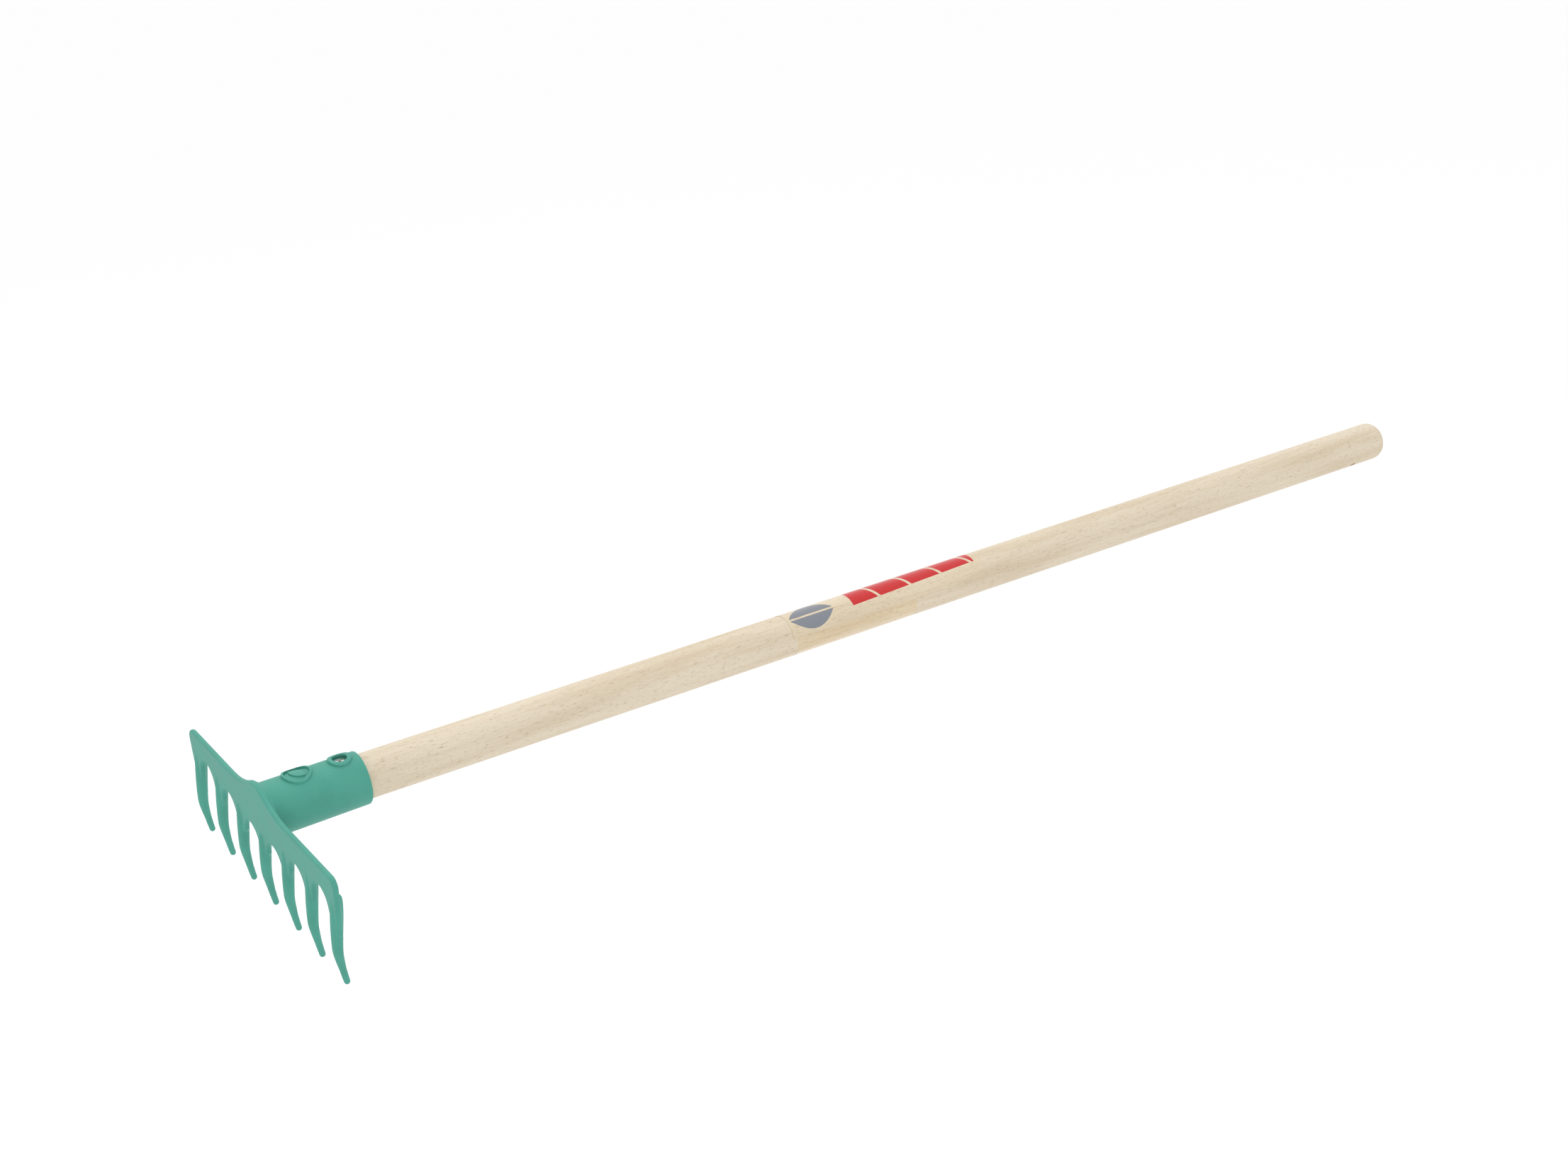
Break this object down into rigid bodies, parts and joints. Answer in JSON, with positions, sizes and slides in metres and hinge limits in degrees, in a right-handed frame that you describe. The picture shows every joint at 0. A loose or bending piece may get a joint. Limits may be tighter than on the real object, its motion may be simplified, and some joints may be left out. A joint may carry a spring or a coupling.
{
  "type": "garden rake",
  "caption": "Small children's garden rake: teal one-piece moulded head with a row of curved tines, screwed to a pale wooden handle.",
  "frame": {"origin": "handle axis in the plane of the socket's mouth", "axes": "+X along the row of tines, +Y along the handle to its free end, +Z away from the tines"},
  "size_m": [0.1726, 0.7239, 0.0655],
  "materials": {
    "teal_plastic": "satin",
    "beech": "satin",
    "zinc_screw": "satin",
    "clear_film": "gloss"
  },
  "bodies": {
    "root": {"rake_head": "teal_plastic", "handle": "beech", "fixing_screw": "zinc_screw", "front_label_film": "clear_film", "side_label_film": "clear_film"}
  },
  "joints": []
}
